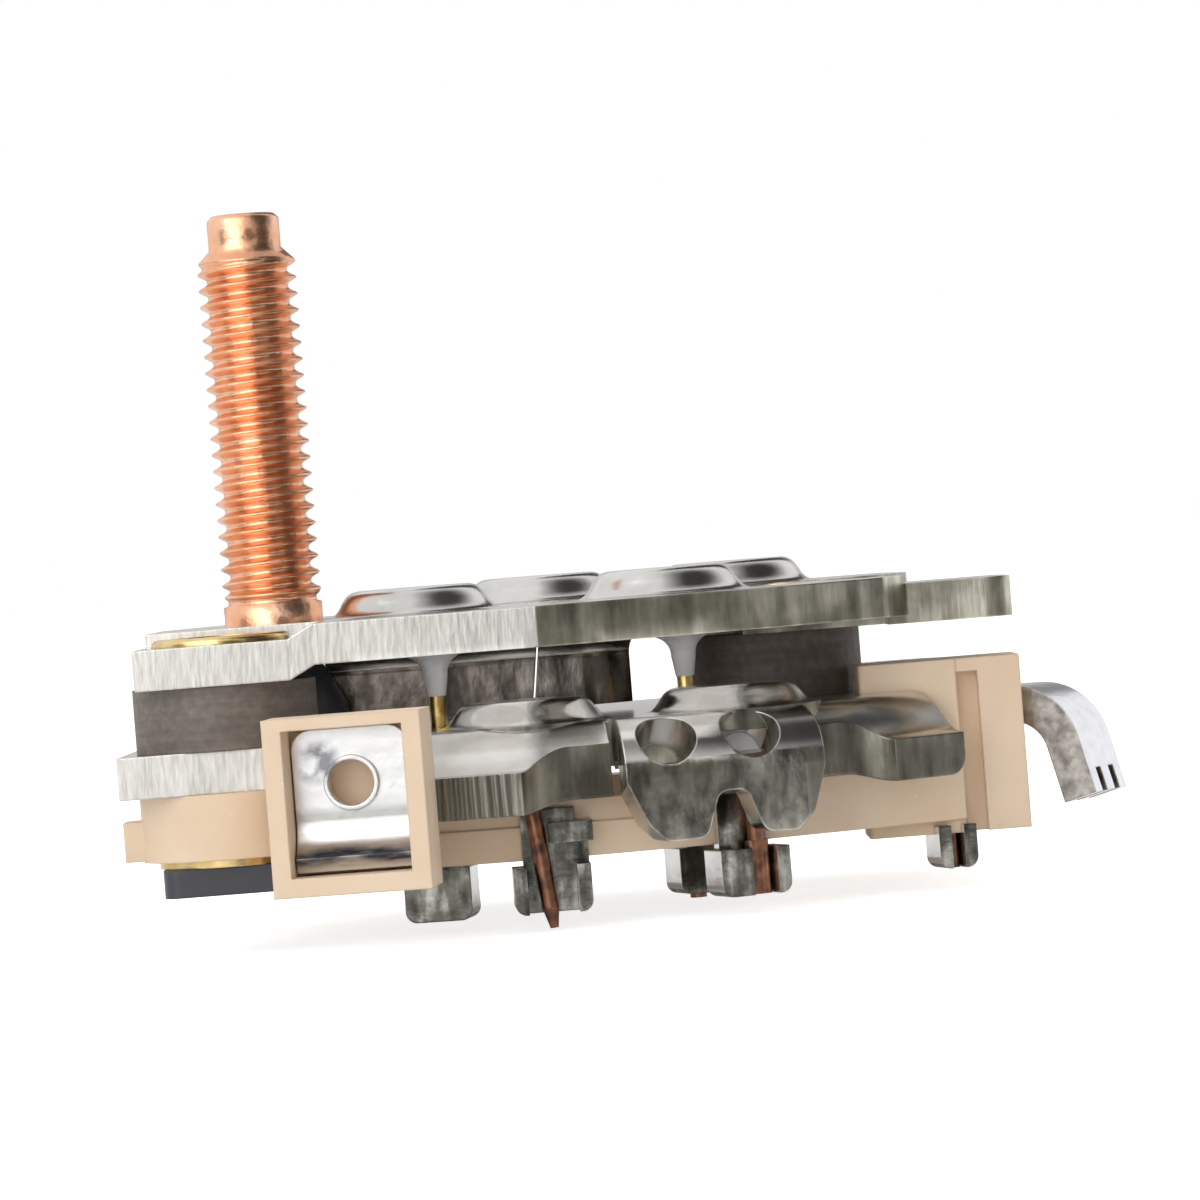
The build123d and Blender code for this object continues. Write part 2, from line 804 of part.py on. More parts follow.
for name, piece in crimps.items():
    piece.label = name
    export_step(piece, f"parts/{name}.step")


def local_plane(origin, turn, height=0.0):
    """A level plane turned about the upright; its y runs backwards into the block."""
    across = (cos(radians(turn)), sin(radians(turn)), 0)
    return Plane(origin=(*origin, height), x_dir=across, z_dir=(0, 0, 1))


def side_plane(origin, turn):
    """An upright plane for side views: its x runs along the turned direction and y upwards."""
    along = (cos(radians(turn)), sin(radians(turn)), 0)
    return Plane(origin=(*origin, 0), x_dir=along, z_dir=(along[1], -along[0], 0))


# Screw terminal: a tinned plate in the box, with a collar round its hole and a curled foot
with BuildPart() as screw_terminal:
    plate_back = box_depth / 2 - box_back
    plate_face = plate_back - screw_plate_thickness
    side = side_plane(box_centre, box_turn + 90)
    with BuildSketch(side):
        curl_at = (plate_face - screw_bend_radius, screw_foot_top)
        with BuildLine():
            outer_curl = CenterArc(
                curl_at, screw_bend_radius + screw_plate_thickness, 0, -screw_bend_angle
            )
            inner_curl = CenterArc(curl_at, screw_bend_radius, 0, -screw_bend_angle)
            Line(outer_curl @ 1, inner_curl @ 1)
            Polyline(
                inner_curl @ 0,
                (plate_face, screw_plate_top),
                (plate_back, screw_plate_top),
                outer_curl @ 0,
            )
        make_face()
    extrude(amount=screw_plate_width / 2, both=True)
    through_plate = Axis((0, 0, 0), side.x_dir)
    top_corners = screw_terminal.edges().filter_by(through_plate).group_by(Axis.Z)[-1]
    fillet(top_corners, screw_corner)
    face_plane = Plane(
        origin=side.from_local_coords(Vector(plate_face, screw_hole_height, 0)),
        x_dir=side.z_dir,
        z_dir=-side.x_dir,
    )
    with BuildSketch(face_plane):
        Circle(screw_ring_diameter / 2)
    extrude(amount=screw_ring_height)
    with BuildSketch(face_plane):
        Circle(screw_hole_diameter / 2)
    extrude(amount=screw_plate_thickness + screw_ring_height, both=True, mode=Mode.SUBTRACT)
screw_terminal.part.label = "screw_terminal"
export_step(screw_terminal.part, "parts/screw_terminal.step")

# Curved terminal: a thick ribbon that leaves the block and turns down, slotted at its end
with BuildPart() as curved_terminal:
    side = side_plane(ribbon_start, ribbon_turn)
    with BuildSketch(side):
        with BuildLine() as ribbon_line:
            run = Line((-ribbon_buried, ribbon_height), (ribbon_run, ribbon_height))
            turn = CenterArc(
                (ribbon_run, ribbon_height - ribbon_radius), ribbon_radius, 90, -ribbon_angle
            )
            leg = Line(turn @ 1, turn @ 1 + (turn % 1) * ribbon_leg)
        trace(line_width=ribbon_thickness)
    extrude(amount=ribbon_width / 2, both=True)
    leg_end = side.from_local_coords(leg @ 1)
    leg_way = side.from_local_coords(leg @ 1 + leg % 1) - leg_end
    with BuildSketch(Plane(origin=leg_end, x_dir=side.z_dir, z_dir=side.z_dir.cross(leg_way))):
        with Locations((ribbon_width * 0.2, 0), (-ribbon_width * 0.2, 0)):
            Rectangle(ribbon_slot_width, 2 * ribbon_slot_depth)
    extrude(amount=ribbon_thickness, both=True, mode=Mode.SUBTRACT)
curved_terminal.part.label = "curved_terminal"
export_step(curved_terminal.part, "parts/curved_terminal.step")


def bar_strip(points, bottom, top, width):
    """A straight-sided rib that follows these points."""
    with BuildPart() as rib:
        with BuildSketch(Plane.XY.offset(bottom)):
            with BuildLine():
                FilletPolyline(*points, radius=2.5)
            trace(line_width=width)
        extrude(amount=top - bottom)
    return rib.part


with BuildPart() as terminal_block:
    # Curved bar under the rim
    with BuildSketch(Plane.XY.offset(bar_bottom)):
        with BuildLine():
            outer_arc = CenterArc(rim_centre, bar_outer_radius, bar_start - 90, bar_end - bar_start)
            inner_arc = CenterArc(rim_centre, bar_inner_radius, bar_start - 90, bar_end - bar_start)
            Line(outer_arc @ 0, inner_arc @ 0)
            Line(outer_arc @ 1, inner_arc @ 1)
        make_face()
    extrude(amount=bar_top - bar_bottom)
    # Above a shallow step the bar's face lies a little further back
    with BuildSketch(Plane.XY.offset(bar_step_level)):
        with BuildLine():
            step_outer = CenterArc(
                rim_centre, bar_outer_radius + 1, bar_start - 91, bar_end - bar_start + 2
            )
            step_inner = CenterArc(
                rim_centre, bar_outer_radius - bar_step, bar_start - 91, bar_end - bar_start + 2
            )
            Line(step_outer @ 0, step_inner @ 0)
            Line(step_outer @ 1, step_inner @ 1)
        make_face()
    extrude(amount=bar_top - bar_step_level, mode=Mode.SUBTRACT)
    # The bar runs on into the right block
    with BuildSketch(Plane.XY.offset(bar_bottom)):
        Polygon(
            rim_point(bar_outer_radius, block_blend),
            (block_split, block_front),
            (block_split, block_back),
            rim_point(bar_inner_radius + 1, block_blend),
            align=None,
        )
    extrude(amount=bar_top - bar_bottom)
    # Seats of the two eyelets, and the ribs that carry them
    for at in (left_eyelet_at, right_eyelet_at):
        add(disc(at, boss_bottom, lower_bottom, boss_diameter))
    add(bar_strip(left_web, boss_bottom, bar_top, frame_width))
    add(bar_strip(right_web, boss_bottom, bar_top, frame_width))
    add(bar_strip(rear_frame, bar_bottom, bar_top, frame_width))
    # Right block, in two steps
    with BuildSketch(Plane.XY.offset(block_bottom)) as block_outline:
        with BuildLine():
            Polyline(
                (block_left, block_front),
                (block_split, block_front),
                (block_split, block_front + block_step),
                (block_right, block_front + block_step),
                (block_right, block_back),
                (block_left, block_back),
                close=True,
            )
        make_face()
        fillet(block_outline.vertices().group_by(Axis.Y)[0], block_corner)
    extrude(amount=block_top - block_bottom)
    with BuildSketch(Plane.XY.offset(block_bottom)):
        with Locations((block_split, block_front - 1)):
            Rectangle(block_groove[0], 1 + block_groove[1], align=(Align.MIN, Align.MIN))
    extrude(amount=block_shelf - block_bottom, mode=Mode.SUBTRACT)
    # A small rib at the left eyelet's seat
    rib_left, rib_bottom, rib_top = side_rib
    with BuildSketch(Plane.XY.offset(rib_bottom)):
        with Locations((rib_left, left_eyelet_at[1])):
            Rectangle(3, 3, align=(Align.MIN, Align.CENTER))
    extrude(amount=rib_top - rib_bottom)
    # Box of the screw terminal, open at its front
    with BuildSketch(local_plane(box_centre, box_turn, box_bottom)):
        Rectangle(box_width, box_depth)
    extrude(amount=box_top - box_bottom)
    with BuildSketch(local_plane(box_centre, box_turn, bar_bottom)):
        with Locations((-0.4, box_depth / 2 - 0.5)):
            Rectangle(neck_width, neck_length, align=(Align.CENTER, Align.MIN))
    extrude(amount=neck_height)
    with BuildSketch(local_plane(box_centre, box_turn, box_bottom + box_floor)):
        with Locations((0, -box_depth / 2 - 1)):
            Rectangle(
                screw_plate_width + 2 * box_fit,
                box_depth + 1 - box_back,
                align=(Align.CENTER, Align.MIN),
            )
    extrude(amount=box_top - box_roof - box_bottom - box_floor, mode=Mode.SUBTRACT)
    with BuildSketch(face_plane):
        Circle(screw_hole_diameter / 2 + 0.3)
    extrude(amount=-screw_plate_thickness - screw_room, mode=Mode.SUBTRACT)
    for at in (left_eyelet_at, right_eyelet_at):
        add(
            disc(at, bar_bottom - 1, lower_bottom, eyelet_diameter + 2 * eyelet_fit),
            mode=Mode.SUBTRACT,
        )
    add(screw_terminal.part, mode=Mode.SUBTRACT)
    add(curved_terminal.part, mode=Mode.SUBTRACT)
    for piece in crimps.values():
        add(piece, mode=Mode.SUBTRACT)
terminal_block.part.label = "terminal_block"
export_step(terminal_block.part, "parts/terminal_block.step")


def wire(points, radii, tip=0.0):
    """A round lead along straight runs joined by bends, drawn out to a tapered tip."""
    with BuildLine() as route:
        FilletPolyline(*points, radius=radii)
    with BuildPart() as strand:
        with BuildSketch(Plane(origin=route.line @ 0, z_dir=route.line % 0)):
            Circle(lead_diameter / 2)
        sweep(path=route.wires()[0])
        if tip:
            with BuildSketch(Plane(origin=route.line @ 1, z_dir=route.line % 1)):
                Circle(lead_diameter / 2)
            extrude(amount=tip, taper=tip_taper)
    return strand.part


def diode(name, dome_at, lead_at, bottom, depth, pocket, strand, drop, sleeve, neck):
    """The chip at the top of its pocket, the nail-head lead on it and the resin round both."""
    chip_bottom = bottom + depth - chip_height
    head_bottom = chip_bottom - head_height
    chip = disc(dome_at, chip_bottom, bottom + depth, chip_diameter)
    with BuildPart() as lead:
        add(disc(lead_at, head_bottom, chip_bottom, head_diameter))
        add(strand)
    with BuildPart() as resin:
        add(disc(dome_at, bottom, bottom + depth, pocket))
        with BuildSketch(Plane(origin=(*lead_at, bottom), x_dir=(1, 0, 0), z_dir=(0, -1, 0))):
            with BuildLine():
                Bezier(
                    (resin_reach, 0),
                    (neck * 1.4, -drop * 0.1),
                    (neck, -drop * 0.5),
                    (neck, -drop),
                )
                Polyline(
                    (neck, -drop),
                    (neck * 0.75, -drop - sleeve),
                    (0, -drop - sleeve),
                    (0, 0),
                    (resin_reach, 0),
                )
            make_face()
        revolve(axis=Axis((*lead_at, 0), (0, 0, 1)))
        add(chip, mode=Mode.SUBTRACT)
        add(lead.part, mode=Mode.SUBTRACT)
    pieces = {"chip": chip, "lead": lead.part, "resin": resin.part}
    for kind, piece in pieces.items():
        piece.label = f"{name}_{kind}"
        export_step(piece, f"parts/{piece.label}.step")


def shifted(at, shift):
    """A point of the plan moved by a shift."""
    return (at[0] + shift[0], at[1] + shift[1])


def straight_wire(start, head, bend, end_at, end):
    """Down from the plate, across to the crimp, and down through it."""
    points = [(*start, head), (*start, bend), (*end_at, crimp_wing_top + 1.0), (*end_at, end)]
    return wire(points, lead_bend_radius)


upper_head = upper_bottom + upper_pocket_depth - chip_height - head_height
lower_head = lower_bottom + lower_pocket_depth - chip_height - head_height
rear_offset = -crimp_sheet - lead_stand_off
inner_lead = inner_back - crimp_sheet - lead_stand_off
outer_lead = outer_back + crimp_sheet + lead_stand_off
upper_ends = [
    (rim_point(inner_lead, inner_crimps[0] + 1.1), lead_end),
    (rim_point(inner_lead, inner_crimps[1]), crimp_bottom - 0.3),
    (shifted(rear_crimp_left, (lead_pitch / 2, rear_offset)), lead_end),
    (shifted(rear_crimp_right, (-lead_pitch / 2, rear_offset)), lead_end),
]
for number, (at, (end_at, end)) in enumerate(zip(upper_diodes, upper_ends), start=1):
    start = shifted(at, upper_lead_shift)
    diode(
        f"upper_diode_{number}",
        at,
        start,
        upper_bottom,
        upper_pocket_depth,
        upper_pocket_diameter,
        straight_wire(start, upper_head, upper_lead_bend, end_at, end),
        resin_drop,
        resin_sleeve,
        resin_neck,
    )

# The first front lead leans as it passes its crimp and ends in a point
lean_start, lean_end, lean_level = leaning_ends
leaning_wire = wire(
    [
        (*lower_diodes[0], lower_head),
        (*lower_diodes[0], lower_lead_bend),
        (*rim_point(outer_lead, lean_start), lower_lead_bend),
        (*rim_point(outer_lead, lean_end), lean_level),
    ],
    lead_bend_radius,
    tip_length,
)
# The second ends flattened beside its crimp's folded wing
flat_width, flat_depth, flat_top = flat_end
flat_at = rim_point(outer_lead, flat_lead_angle)
with BuildPart() as flattened_wire:
    add(
        wire(
            [
                (*lower_diodes[1], lower_head),
                (*lower_diodes[1], lower_lead_bend),
                (*flat_at, lower_lead_bend),
                (*flat_at, crimp_bottom),
            ],
            lead_bend_radius,
        )
    )
    flat_plane = local_plane(flat_at, front_crimps[1], crimp_bottom)
    with BuildSketch(flat_plane):
        RectangleRounded(flat_width, flat_depth, flat_depth * 0.4)
    extrude(amount=flat_top - crimp_bottom)
lower_wires = [
    leaning_wire,
    flattened_wire.part,
    straight_wire(
        lower_diodes[2],
        lower_head,
        lower_lead_bend,
        shifted(rear_crimp_left, (-lead_pitch / 2, rear_offset)),
        lead_end,
    ),
    straight_wire(
        lower_diodes[3],
        lower_head,
        lower_lead_bend,
        shifted(rear_crimp_right, (lead_pitch / 2, rear_offset)),
        lead_end,
    ),
]
for number, (at, strand) in enumerate(zip(lower_diodes, lower_wires), start=1):
    diode(
        f"lower_diode_{number}",
        at,
        at,
        lower_bottom,
        lower_pocket_depth,
        lower_pocket_diameter,
        strand,
        0.3,
        0.05,
        1.6,
    )

tap_plane = local_plane(rim_point(tap_radius, tap_angle), tap_facing)
tap_spot = tap_plane.from_local_coords(Vector(0, -crimp_sheet - lead_stand_off, 0))
tap_wire = disc(
    (tap_spot.X, tap_spot.Y), block_bottom - tap_drop, block_bottom, tap_wire_diameter
)
tap_wire.label = "tap_wire"
export_step(tap_wire, "parts/tap_wire.step")
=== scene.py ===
import bmesh
import bpy
import numpy as np
from mathutils import Matrix, Vector


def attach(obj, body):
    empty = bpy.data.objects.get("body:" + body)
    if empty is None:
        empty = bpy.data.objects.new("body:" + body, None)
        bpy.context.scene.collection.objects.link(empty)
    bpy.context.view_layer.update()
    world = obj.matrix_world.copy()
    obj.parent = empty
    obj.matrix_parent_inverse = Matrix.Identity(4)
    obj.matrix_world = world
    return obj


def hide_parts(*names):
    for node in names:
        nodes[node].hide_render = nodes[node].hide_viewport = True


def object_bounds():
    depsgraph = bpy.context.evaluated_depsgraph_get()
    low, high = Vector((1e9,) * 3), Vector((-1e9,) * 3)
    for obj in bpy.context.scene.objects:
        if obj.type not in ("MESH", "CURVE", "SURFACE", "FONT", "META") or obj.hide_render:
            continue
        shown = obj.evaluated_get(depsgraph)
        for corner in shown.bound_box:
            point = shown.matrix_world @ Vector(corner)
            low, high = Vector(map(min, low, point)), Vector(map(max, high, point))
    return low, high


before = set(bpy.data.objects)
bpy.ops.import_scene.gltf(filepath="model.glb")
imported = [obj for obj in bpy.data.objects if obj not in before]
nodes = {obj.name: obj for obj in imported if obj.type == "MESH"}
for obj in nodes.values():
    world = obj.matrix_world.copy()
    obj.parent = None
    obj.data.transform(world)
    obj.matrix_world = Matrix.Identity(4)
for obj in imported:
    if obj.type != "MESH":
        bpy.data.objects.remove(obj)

cad_low, cad_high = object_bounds()
MM = 0.001


# Upper heat sink: a stamping of thick strip, tinned all over after its domes were pressed up.
# Its rolled faces stay bright, and its sheared edge is pale, rough and scored from top to bottom
# by the punch.
def new_material(name, colour, metallic, roughness):
    """A material with its shader: returns the material, its tree and the Principled node."""
    material = bpy.data.materials.new(name)
    material.use_nodes = True
    tree = material.node_tree
    shader = tree.nodes["Principled BSDF"]
    shader.inputs["Base Color"].default_value = (*colour, 1.0)
    shader.inputs["Metallic"].default_value = metallic
    shader.inputs["Roughness"].default_value = roughness
    return material, tree, shader


def feed(tree, socket, value):
    """Sets an input: a socket is linked, a number is set and a colour gets its alpha."""
    if isinstance(value, tuple):
        socket.default_value = (*value, 1.0)
    elif isinstance(value, (int, float)):
        socket.default_value = value
    else:
        tree.links.new(value, socket)


def object_noise(tree, frequency, detail=3.0):
    """Noise on Object coordinates. The frequency per metre is one number, or one for each axis:
    high across an edge and low down it, it makes upright streaks."""
    along = frequency if isinstance(frequency, tuple) else (frequency, frequency, frequency)
    coordinates = tree.nodes.new("ShaderNodeTexCoord")
    mapping = tree.nodes.new("ShaderNodeMapping")
    mapping.inputs["Scale"].default_value = along
    noise = tree.nodes.new("ShaderNodeTexNoise")
    noise.inputs["Scale"].default_value = 1.0
    noise.inputs["Detail"].default_value = detail
    tree.links.new(coordinates.outputs["Object"], mapping.inputs["Vector"])
    tree.links.new(mapping.outputs["Vector"], noise.inputs["Vector"])
    return noise.outputs["Fac"]


def math_node(tree, operation, *values, clamp=False):
    """One Math node; each value is a socket or a number."""
    node = tree.nodes.new("ShaderNodeMath")
    node.operation = operation
    node.use_clamp = clamp
    for socket, value in zip(node.inputs, values):
        feed(tree, socket, value)
    return node.outputs[0]


def product(tree, first, *others, clamp=False):
    """All values multiplied, with the last result kept between zero and one by clamp."""
    for number, other in enumerate(others, start=1):
        last = number == len(others)
        first = math_node(tree, "MULTIPLY", first, other, clamp=clamp and last)
    return first


def inverse(tree, value):
    """One minus a value."""
    return math_node(tree, "SUBTRACT", 1.0, value)


def scaled(tree, value, factor, offset=0.0, clamp=False):
    """A value times a factor plus an offset."""
    return math_node(tree, "MULTIPLY_ADD", value, factor, offset, clamp=clamp)


def ramp(tree, factor, stops):
    """A colour ramp over (place, colour) stops."""
    node = tree.nodes.new("ShaderNodeValToRGB")
    band = node.color_ramp
    while len(band.elements) < len(stops):
        band.elements.new(0.5)
    for element, (place, colour) in zip(band.elements, stops):
        element.position = place
        element.color = (*colour, 1.0)
    tree.links.new(factor, node.inputs["Fac"])
    return node.outputs["Color"]


def blend(tree, factor, first, second, kind="RGBA"):
    """Mixes two colours, or two values with kind FLOAT; each is a socket or a constant."""
    node = tree.nodes.new("ShaderNodeMix")
    node.data_type = kind
    tree.links.new(factor, node.inputs["Factor"])
    feed(tree, node.inputs["A"], first)
    feed(tree, node.inputs["B"], second)
    return node.outputs["Result"]


def shade(colour, gain):
    """A colour made darker or lighter by a factor."""
    return tuple(gain * channel for channel in colour)


def round_edges(tree, radius):
    """A normal that runs round the edges with this radius in metres."""
    node = tree.nodes.new("ShaderNodeBevel")
    node.samples = 6
    node.inputs["Radius"].default_value = radius
    return node.outputs["Normal"]


def bump(tree, shader, height, depth, edges=None):
    """Bump of this depth in metres on the shader, over edges rounded to a radius in metres."""
    node = tree.nodes.new("ShaderNodeBump")
    node.inputs["Distance"].default_value = depth
    tree.links.new(height, node.inputs["Height"])
    if edges is not None:
        tree.links.new(round_edges(tree, edges), node.inputs["Normal"])
    tree.links.new(node.outputs["Normal"], shader.inputs["Normal"])


def position(tree, axis):
    """One Object coordinate as a value, in metres."""
    coordinates = tree.nodes.new("ShaderNodeTexCoord")
    split = tree.nodes.new("ShaderNodeSeparateXYZ")
    tree.links.new(coordinates.outputs["Object"], split.inputs[0])
    return split.outputs[axis]


def facing(tree, axis):
    """How far the surface faces along an axis, without sign."""
    geometry = tree.nodes.new("ShaderNodeNewGeometry")
    split = tree.nodes.new("ShaderNodeSeparateXYZ")
    tree.links.new(geometry.outputs["True Normal"], split.inputs[0])
    return math_node(tree, "ABSOLUTE", split.outputs[axis])


def above(tree, axis, edge, softness=0.1):
    """One where an Object coordinate lies above the edge, both in mm, with a soft step."""
    steepness = 1.0 / (softness * MM)
    return scaled(tree, position(tree, axis), steepness, 0.5 - edge / softness, clamp=True)


def below(tree, axis, edge, softness=0.1):
    """One where an Object coordinate lies below the edge, both in mm, with a soft step."""
    return inverse(tree, above(tree, axis, edge, softness))


def paint(material, *names):
    """Gives CAD nodes this material in every slot."""
    for name in names:
        data = nodes[name].data
        data.materials.clear()
        data.materials.append(material)


def flutes(tree, mask, streaks):
    """Flutes that the punch left where the mask is one: a sine along X from zero to one, with its
    phase shifted by the streaks."""
    spacing = 0.6 * MM
    shift = 6.0
    phase = scaled(tree, position(tree, "X"), 2.0 * np.pi / spacing)
    phase = math_node(tree, "ADD", phase, scaled(tree, streaks, shift))
    wave = scaled(tree, math_node(tree, "SINE", phase), 0.5, 0.5)
    return product(tree, wave, mask)


def tinned_plate(name, smooth, smooth_tone, shaded_edge, edge_shade_tone, fluted=None):
    """Tinned strip: bright rolled faces and scored sheared edges. The mask smooth(tree) is one
    where an upright face is rolled too, in smooth_tone, and the mask after it is one where a
    sheared edge is painted darker, by the tone after it, as painted shade. The mask fluted(tree) is
    one where it has flutes."""
    material, tree, shader = new_material(name, (0.76, 0.74, 0.71), metallic=1.0, roughness=0.16)
    steepest_flat = 0.3
    upright = math_node(tree, "LESS_THAN", facing(tree, "Z"), steepest_flat)
    sheared = product(tree, upright, inverse(tree, smooth(tree)))
    upright_rolled = product(tree, upright, smooth(tree))

    scores = object_noise(tree, (3600.0, 3600.0, 620.0), detail=5.0)
    streaks = object_noise(tree, (800.0, 800.0, 150.0), detail=4.0)
    scuffs = object_noise(tree, (900.0, 900.0, 420.0), detail=5.0)
    patches = object_noise(tree, 260.0, detail=4.0)
    grain = object_noise(tree, 700.0)

    rolled = ramp(tree, patches, [(0.30, (0.54, 0.525, 0.50)), (0.70, (0.72, 0.705, 0.68))])
    # Scuffed uprights; on the upper plate's flaps the dark tone is painted shade.
    scuffed_and_shaded_stops = [(0.38, shade(smooth_tone, 0.45)), (0.60, shade(smooth_tone, 1.30))]
    rolled = blend(tree, upright_rolled, rolled, ramp(tree, scuffs, scuffed_and_shaded_stops))

    pale = ramp(tree, scores, [(0.3, (0.60, 0.58, 0.55)), (0.7, (0.80, 0.775, 0.735))])
    # The dark colour is painted shade on sheared edges that face away from the light, streaked and
    # patchy.
    dark = ramp(
        tree,
        scaled(tree, math_node(tree, "ADD", streaks, patches), 0.5),
        [
            (0.38, shade((0.16, 0.15, 0.12), edge_shade_tone)),
            (0.50, shade((0.33, 0.315, 0.26), edge_shade_tone)),
            (0.64, shade((0.66, 0.63, 0.54), edge_shade_tone)),
        ],
    )
    cut = blend(tree, shaded_edge(tree), pale, dark)

    # Shares of the bump's depth: scores on the cut, grain all over, scuffs on rolled uprights.
    height = product(tree, scores, sheared, 0.45)
    height = math_node(tree, "ADD", height, scaled(tree, grain, 0.25))
    height = math_node(tree, "ADD", height, product(tree, scuffs, upright_rolled))
    if fluted is not None:
        mask = fluted(tree)
        grooves = product(tree, flutes(tree, mask, streaks), sheared)
        # The fluted face is darkened all over, and further in its grooves as painted shade.
        tarnish_and_groove_shade = math_node(tree, "ADD", scaled(tree, mask, 0.45), scaled(tree, grooves, 0.4))
        cut = blend(tree, tarnish_and_groove_shade, cut, (0.16, 0.152, 0.13))
        height = math_node(tree, "SUBTRACT", height, scaled(tree, grooves, 1.4))

    feed(tree, shader.inputs["Base Color"], blend(tree, sheared, rolled, cut))
    rolled_roughness = scaled(tree, patches, 0.14, 0.13)
    cut_roughness = scaled(tree, scores, 0.16, 0.28)
    roughness = blend(tree, sheared, rolled_roughness, cut_roughness, kind="FLOAT")
    feed(tree, shader.inputs["Roughness"], roughness)
    bump(tree, shader, height, depth=0.04 * MM, edges=0.14 * MM)
    return material


def flaps_only(tree):
    """The upper plate's bent-down flaps lie below its underside; their dark tone is painted shade
    and reflection, as they hang in the dark gap between the plates.
    """
    return below(tree, "Z", 3.7)


def past_corner(tree):
    """Right of its front corner the upper plate's edge is painted darker, as painted shade, where
    it turns away from the lamp.
    """
    return above(tree, "X", 18.85, softness=0.2)


# Past its front corner the upper plate's sheared edge gets painted shade.
upper_finish = tinned_plate(
    "tinned upper plate", flaps_only, (0.20, 0.175, 0.155), past_corner, edge_shade_tone=1.4
)
paint(upper_finish, "upper_heat_sink")


# Lower heat sink: the same tinned strip. Its rim steps down into lobes, and the middle tab is
# bent square, so that tab stays smooth where the lobes show their sheared faces.
front_of_flat = -4.0


def bent_tab(tree):
    """The bent middle tab lies between two x and in front of the flat."""
    sides = product(tree, above(tree, "X", 22.9), below(tree, "X", 35.2))
    return product(tree, sides, below(tree, "Y", front_of_flat))


def lobes_only(tree):
    """The lobes' faces are painted darker than the flat's edge at the left: painted shade over real
    streaks, as they tilt away from the light.
    """
    return above(tree, "X", 9.0, softness=0.5)


def fluted_lobe(tree):
    """The left lobe's sheared face, between two x and in front of the flat."""
    sides = product(tree, above(tree, "X", 11.0, 0.6), below(tree, "X", 17.0, 0.6))
    return product(tree, sides, below(tree, "Y", front_of_flat))


# The lobes' sheared faces get painted shade, over their real streaks.
lower_finish = tinned_plate(
    "tinned lower plate",
    bent_tab,
    (0.56, 0.54, 0.48),
    lobes_only,
    edge_shade_tone=0.70,
    fluted=fluted_lobe,
)
paint(lower_finish, "lower_heat_sink")


# Diodes: a silicon chip is soldered at the top of each dome's pocket, with a copper lead on a
# nail head under it. Grey resin seals the pocket and climbs down the upper leads.
silicon, tree, shader = new_material(
    "soldered silicon", (0.30, 0.31, 0.34), metallic=0.6, roughness=0.3
)
bump(tree, shader, object_noise(tree, 1400.0), depth=0.01 * MM)

resin, tree, shader = new_material("grey resin", (0.80, 0.80, 0.85), metallic=0.0, roughness=0.32)
clouds = object_noise(tree, 500.0)
resin_colour = ramp(tree, clouds, [(0.3, (0.90, 0.90, 0.93)), (0.7, (0.96, 0.96, 0.98))])
feed(tree, shader.inputs["Base Color"], resin_colour)
shader.inputs["Subsurface Weight"].default_value = 0.4
shader.inputs["Subsurface Radius"].default_value = (1.5 * MM, 1.5 * MM, 1.5 * MM)
bump(tree, shader, clouds, depth=0.05 * MM)

lead, tree, shader = new_material("lead wire", (0.74, 0.50, 0.24), metallic=1.0, roughness=0.3)
# The leads turn darker and redder over the five mm below Z zero, towards the crimps.
darkening_depth = 5.0 * MM
golden_share = scaled(tree, position(tree, "Z"), 1.0 / darkening_depth, 1.0, clamp=True)
spots = object_noise(tree, 900.0)
low_lead_colour = ramp(tree, spots, [(0.35, (0.10, 0.055, 0.04)), (0.65, (0.36, 0.17, 0.105))])
golden = ramp(tree, spots, [(0.35, (0.62, 0.36, 0.12)), (0.6, (1.0, 0.80, 0.34))])
feed(tree, shader.inputs["Base Color"], blend(tree, golden_share, low_lead_colour, golden))
bump(tree, shader, spots, depth=0.04 * MM)

for level in ("upper", "lower"):
    for number in range(1, 5):
        paint(silicon, f"{level}_diode_{number}_chip")
        paint(resin, f"{level}_diode_{number}_resin")
        paint(lead, f"{level}_diode_{number}_lead")
paint(lead, "tap_wire")


# Output stud: copper, with a rolled thread of 6 mm and 1 mm pitch, a run-out above the plain
# shank, and a plain dog point that starts the nut. It is pressed into the upper plate.
stud_at = (2.75, 9.4)
thread_radius = 3.0
thread_root = 2.46
thread_pitch = 1.0
thread_low = 8.7
thread_high = 29.2
thread_run_in = 0.5
thread_run_out = 0.6


def turned_piece(name, centre, heights, radius, columns):
    """A closed turned piece: radius(angle, height) in mm on a grid of rings, with a point at each
    end. Every ring is joined to the next by quads and each point to its ring by a fan."""
    angle = np.linspace(0.0, 2.0 * np.pi, columns, endpoint=False)
    turn, level = np.meshgrid(angle, heights)
    reach = radius(turn, level)
    ring = np.stack([reach * np.cos(turn), reach * np.sin(turn), level], -1).reshape(-1, 3)
    ends = np.array([[0.0, 0.0, heights[0]], [0.0, 0.0, heights[-1]]])
    points = (np.vstack([ring, ends]) + (*centre, 0.0)) * MM
    row = np.arange(len(heights) - 1)[:, None] * columns
    here = np.arange(columns)[None, :]
    there = (here + 1) % columns
    quads = np.stack([row + here, row + there, row + columns + there, row + columns + here], -1)
    first, last = len(ring), len(ring) + 1
    top = (len(heights) - 1) * columns
    low_fan = np.stack([there[0], here[0], np.full(columns, first)], -1)
    high_fan = np.stack([top + here[0], top + there[0], np.full(columns, last)], -1)
    faces = quads.reshape(-1, 4).tolist() + low_fan.tolist() + high_fan.tolist()
    mesh = bpy.data.meshes.new(name)
    mesh.from_pydata(points.tolist(), [], faces)
    mesh.polygons.foreach_set("use_smooth", np.ones(len(mesh.polygons), bool))
    piece = bpy.data.objects.new(name, mesh)
    bpy.context.scene.collection.objects.link(piece)
    return piece


